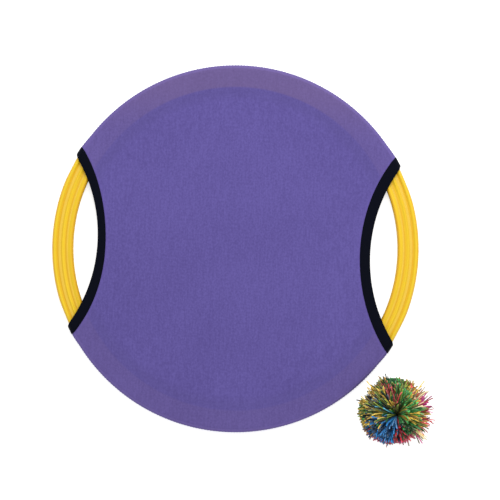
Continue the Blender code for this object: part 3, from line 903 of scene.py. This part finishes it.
def strand_paths(azimuth, lean, length, sway, knot_share):
    """Each strand's middle line: a fountain curve, whose lean grows from a share of its last
    one at the knot, while its distance from the ball's centre grows evenly. The knot's
    offset fades with the square of the share that is left."""
    share = np.linspace(0, 1, STRAND_STATIONS)
    reach = STRAND_START + (length[:, None] - STRAND_START) * share
    bend = knot_share + (1 - knot_share) * (1 - (1 - share) ** BEND_POWER)
    leans = lean[:, None] * bend
    turned_to = azimuth[:, None] + sway[:, None] * share**2
    flat = reach * np.sin(leans)
    lines = (flat * np.cos(turned_to), flat * np.sin(turned_to), reach * np.cos(leans))
    return np.stack(lines, axis=-1) + KNOT_OFFSET * ((1 - share) ** 2)[:, None]


def leaning(points):
    """Points moved towards the parting's bearing, by a share of their height."""
    along = np.array((math.cos(PARTING_BEARING), math.sin(PARTING_BEARING), 0.0))
    return points + np.maximum(points[..., 2:], 0) * PARTING_SHIFT * along


def settled(points, rng):
    """Points placed on the floor: what would reach below it spreads sideways instead."""
    pile = STRAND_WIDTH * (LEAST_PILE + rng.uniform(0, PILE, (len(points), 1)))
    depth = BALL_CENTRE[2] - pile
    below = np.maximum(-points[..., 2] - depth, 0)
    flat = points[..., :2]
    outward = flat / np.maximum(np.linalg.norm(flat, axis=-1, keepdims=True), 1e-6)
    flat = flat + outward * below[..., None] * SPREAD_SHARE
    return np.concatenate([flat, np.maximum(points[..., 2], -depth)[..., None]], axis=-1)


def strand_tubes(lines, widths):
    """Square tubes round middle lines: a ring of four corners at each station, turned so
    that one pair of sides follows the line, and narrowing towards the knot."""
    along = np.gradient(lines, axis=1)
    along /= np.linalg.norm(along, axis=-1, keepdims=True)
    level = np.stack([-lines[:, -1, 1], lines[:, -1, 0], 0 * lines[:, -1, 0]], axis=-1)
    level /= np.linalg.norm(level, axis=-1, keepdims=True)
    beside = level[:, None] - along * (along * level[:, None]).sum(-1, keepdims=True)
    beside /= np.linalg.norm(beside, axis=-1, keepdims=True)
    above = np.cross(along, beside)
    share = np.linspace(0, 1, lines.shape[1])
    taper = KNOT_WIDTH + (1 - KNOT_WIDTH) * smooth_step(share / FULL_WIDTH_SHARE)
    half = widths[:, None] / 2 * taper
    ring = np.array(((1, 1), (-1, 1), (-1, -1), (1, -1)))
    around = ring[:, 0, None] * beside[:, :, None] + ring[:, 1, None] * above[:, :, None]
    return lines[:, :, None] + around * half[..., None, None]


def add_hank(number, finish):
    """One hank: both ends of its strands, with a colour for each point as an attribute: its
    strand's dye, with painted shade towards the knot and on a few strands a painted highlight.
    """
    node, reach, ragged, opening, *mixes = HANKS[number]
    mixes = np.array([[list(DYES).index(word) for word in mix.split()] for mix in mixes])
    rng = np.random.default_rng(FIRST_SEED + number)
    first = HANK_START + HANK_ANGLE * number
    upper = (1, math.radians(opening), UPPER_KNOT_SHARE, reach / 1000)
    lower = (-1, LOWER_OPENING, LOWER_KNOT_SHARE, reach / 1000 * LOWER_REACH)
    halves, dyes = [], []
    for end, first_lean, knot_share, length in (upper, lower):
        azimuth, lean, which = strand_directions(rng, first, first_lean)
        short = rng.uniform(0, 1, TUFTS_EACH)[which] ** SHORT_POWER
        uneven = rng.normal(0, UNEVEN_STRANDS, STRANDS_EACH)
        length = length * (1 + ragged * (LONGEST_TUFT - SHORTER_TUFTS * short + uneven))
        highest = STANDING_HEIGHT * (1 - STANDING_TRIM * short)
        length = np.minimum(length, highest / np.maximum(np.cos(lean), LEAST_COSINE))
        loose = np.where(lean < first_lean, STANDING_SWAY, LYING_SWAY)
        sway = loose * rng.normal(0, 1, STRANDS_EACH)
        lines = strand_paths(azimuth, lean, length, sway, knot_share) * (1, 1, end)
        halves.append(settled(leaning(lines), rng))
        stray = rng.uniform(0, 1, STRANDS_EACH) < STRAY_SHARE
        drift = np.where(stray, STRAY_DRIFT, DYE_DRIFT) * rng.normal(0, 1, STRANDS_EACH)
        along = (azimuth - first) / HANK_ANGLE * DYES_EACH + drift
        depth = lean - first_lean + LAYER_BLUR * rng.normal(0, 1, STRANDS_EACH)
        below = (depth > UPPER_LAYER) | (end < 0)
        dyes.append(mixes[below.astype(int), np.clip(along.astype(int), 0, DYES_EACH - 1)])
    lines = np.concatenate(halves) + BALL_CENTRE
    widths = STRAND_WIDTH * rng.uniform(*WIDTH_RANGE, len(lines))
    points = strand_tubes(lines, widths)
    points[..., 2] = np.maximum(points[..., 2], FLOOR_GAP)
    sides = grid_faces(STRAND_STATIONS, STRAND_SIDES, wrap_columns=True)
    corners = np.arange(STRAND_SIDES)
    caps = np.stack([corners[::-1], (STRAND_STATIONS - 1) * STRAND_SIDES + corners])
    points_each = STRAND_STATIONS * STRAND_SIDES
    faces = repeated(np.concatenate([sides, caps]), len(lines), points_each)
    name = node.replace("hank", "strands")
    strands = add_piece(name, points, faces.tolist(), finish, [node])
    # A random tone for each strand, whose dark end stands partly for painted shade between
    # strands
    tone = DARKEST + BRIGHTER * rng.uniform(0, 1, (len(lines), 1)) ** TONE_POWER
    # A painted pale highlight on a few strands
    highlight_share = PALEST_HIGHLIGHT * rng.uniform(0, 1, (len(lines), 1)) ** PALE_HIGHLIGHT_POWER
    dye = np.array(list(DYES.values()))[np.concatenate(dyes)] * tone * (1 - highlight_share) + highlight_share * PALE_HIGHLIGHT
    # Painted shade, deepest at the knot and lifting along each strand
    share = np.repeat(np.linspace(0, 1, STRAND_STATIONS), STRAND_SIDES)[:, None]
    shade = KNOT_SHADE + (1 - KNOT_SHADE) * smooth_step(share / SHADE_SHARE)
    # The point colours hold each strand's dye with painted shade and painted highlights
    layer = strands.data.attributes.new("dye", "FLOAT_COLOR", "POINT")
    layer.data.foreach_set("color", (dye[:, None] * shade).ravel())


def strand_rubber():
    """Dyed rubber with a soft sheen, a little dust and faint marks of the slitting knife. Its
    colour attribute carries painted shade near the knot and painted pale highlights.
    """
    made, shader, start = new_finish("strand_rubber", Specular_IOR_Level=0.22)
    dye = start.node("Attribute", {"attribute_name": "dye"})
    place = object_place(start)
    dust = place.noise(700.0, 3.0)
    tinted = dust.ramp(0.5, 0.9, 0.0, 0.12).mixed(dye, colour(236, 232, 226))
    bump = {"Strength": 0.15, "Distance": 0.0001, "Height": place.noise(2600.0, 2.0)}
    normal = start.node("Bump", None, bump)
    connect(shader, Base_Color=tinted, Roughness=dust.ramp(0.2, 0.8, 0.38, 0.6), Normal=normal)
    return made


def tie_metal():
    """Steel, with the scrapes of the crimping jaws across it."""
    made, shader, start = new_finish("tie_metal", Metallic=1.0)
    scrapes = object_place(start).noise(1500.0, 3.0, stretch=(1, 1, 0.1))
    grey = scrapes.mixed(colour(140, 140, 144), colour(186, 186, 190))
    connect(shader, Base_Color=grey, Roughness=scrapes.ramp(0.2, 0.8, 0.3, 0.5))
    return made


def crimped_ring():
    """The clamping ring round the knot: an ellipse carried round the Z axis at a radius that
    dips with the cosine of its angle times the number of crimps, where the jaws pressed it
    in."""
    around = np.linspace(0, math.tau, RING_STEPS, endpoint=False)[:, None]
    side = np.linspace(0, math.tau, RING_SIDES, endpoint=False)[None, :]
    crimp = CRIMP_DEPTH / 2 * (1 - np.cos(CRIMPS * around))
    radius = (ring_high.x - ring_low.x) / 2 - crimp
    radius = radius - RING_THICKNESS / 2 * (1 - np.cos(side))
    height = (ring_high.z - ring_low.z) / 2 * np.sin(side) + 0 * around
    ring = (radius * np.cos(around), radius * np.sin(around), height)
    return np.stack(ring, axis=-1) + BALL_CENTRE + KNOT_OFFSET


rubber = strand_rubber()
for number in range(len(HANKS)):
    add_hank(number, rubber)

ring_quads = grid_faces(RING_STEPS, RING_SIDES, wrap_rows=True, wrap_columns=True).tolist()
add_piece("crimped_ring", crimped_ring(), ring_quads, tie_metal(), ["tie_ring"])

# The floor and the light. A white studio floor under an even white surround, with one broad
# soft lamp above the top of the picture. Only faint shadows are left beside the pieces.

FLOOR_HALF_SIZE = 2.0
FLOOR_PAINT = (0.9, 0.9, 0.9, 1.0)
NO_LIFT = (0.0, 0.0, 0.0, 1.0)
FLOOR_LIFT = (0.65, 0.65, 0.65, 1.0)
SURROUND_STRENGTH = 0.56


def studio_white():
    """White paint, which shows a little brighter to the camera, and in what mirrors or lets
    through its view, than it lights the part."""
    made, shader, start = new_finish("studio_white", Roughness=0.9, Specular_IOR_Level=0.0)
    shader.inputs["Base Color"].default_value = FLOOR_PAINT
    rays = ("Is Camera Ray", "Is Glossy Ray", "Is Transmission Ray")
    camera_ray, glossy_ray, through_ray = (start.node("LightPath", output=ray) for ray in rays)
    seen = camera_ray + glossy_ray + through_ray
    lifted = seen.mixed(NO_LIFT, FLOOR_LIFT)
    shader.inputs["Emission Strength"].default_value = 1.0
    connect(shader, Emission_Color=lifted)
    return made


corners = np.array(((-1, -1, 0), (1, -1, 0), (1, 1, 0), (-1, 1, 0))) * FLOOR_HALF_SIZE
floor_mesh = bpy.data.meshes.new("floor")
floor_mesh.from_pydata(corners.tolist(), [], [(0, 1, 2, 3)])
floor_mesh.materials.append(studio_white())
floor = bpy.data.objects.new("floor", floor_mesh)
bpy.context.scene.collection.objects.link(floor)

world = bpy.data.worlds.new("surround")
world.use_nodes = True
background = world.node_tree.nodes["Background"]
background.inputs["Color"].default_value = (1.0, 1.0, 1.0, 1.0)
background.inputs["Strength"].default_value = SURROUND_STRENGTH
bpy.context.scene.world = world

lamp_data = bpy.data.lights.new("soft_lamp", "AREA")
lamp_data.shape = "SQUARE"
lamp_data.size = 0.8
lamp_data.energy = 7.2
lamp = bpy.data.objects.new("soft_lamp", lamp_data)
lamp.location = (0.16, 0.60, 0.90)
lamp.rotation_euler = (math.radians(-33), math.radians(7), 0.0)
bpy.context.scene.collection.objects.link(lamp)

# The camera. It looks straight down from well above, so the rim hardly hides anything, and it
# is turned a little, as the photograph shows the grips slightly off level.

CAMERA_HEIGHT = 2.392
CAMERA_TURN = math.radians(2.6)
# Where the middle of the picture lies from the paddle's centre, to the right and up in it
FRAME_OFFSET = (0.0119, -0.0010)

camera_data = bpy.data.cameras.new("camera")
camera_data.lens = 210.0
camera_data.sensor_width = 36.0
camera = bpy.data.objects.new("camera", camera_data)
turn_cos, turn_sin = math.cos(CAMERA_TURN), math.sin(CAMERA_TURN)
camera.location = (
    FRAME_OFFSET[0] * turn_cos - FRAME_OFFSET[1] * turn_sin,
    FRAME_OFFSET[0] * turn_sin + FRAME_OFFSET[1] * turn_cos,
    CAMERA_HEIGHT,
)
camera.rotation_euler = (0.0, 0.0, CAMERA_TURN)
bpy.context.scene.collection.objects.link(camera)
bpy.context.scene.camera = camera
bpy.context.scene.view_settings.view_transform = "Standard"
